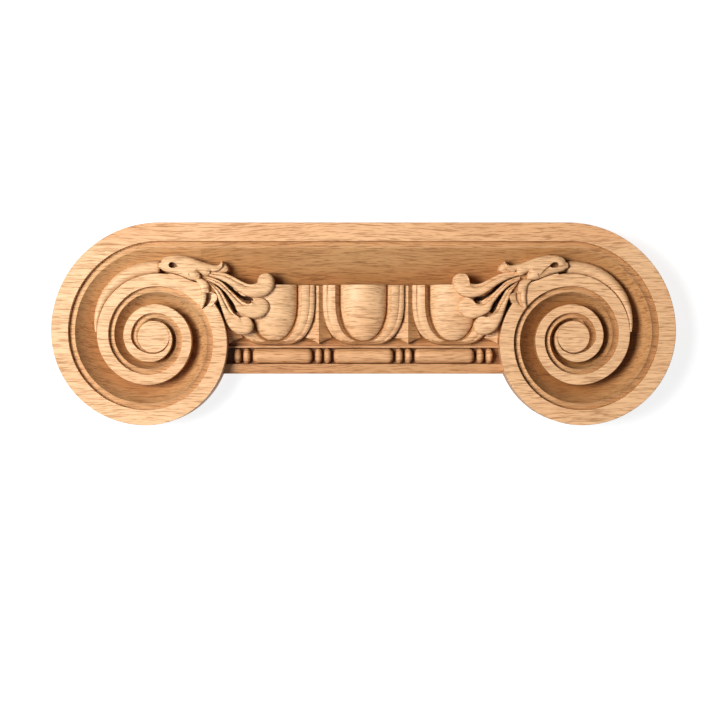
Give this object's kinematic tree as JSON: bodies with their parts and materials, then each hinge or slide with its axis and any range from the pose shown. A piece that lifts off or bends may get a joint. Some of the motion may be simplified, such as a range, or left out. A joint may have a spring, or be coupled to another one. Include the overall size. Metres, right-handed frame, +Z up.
{
  "type": "ionic pilaster capital",
  "caption": "Flat-backed carved oak capital for a pilaster: a straight channel between two winding volutes, over eggs and darts and a beaded moulding.",
  "frame": {"origin": "middle of the flat back, at mid-width and mid-height, where the capital lies against the wall or the pilaster", "axes": "+X along the width, +Y into the wall behind the back, +Z up; the carving faces -Y"},
  "size_m": [0.3, 0.026, 0.0974],
  "materials": {
    "oak": "oak, carved and sanded, unfinished and matt"
  },
  "bodies": {
    "root": {"ionic_capital": "oak"}
  },
  "joints": []
}
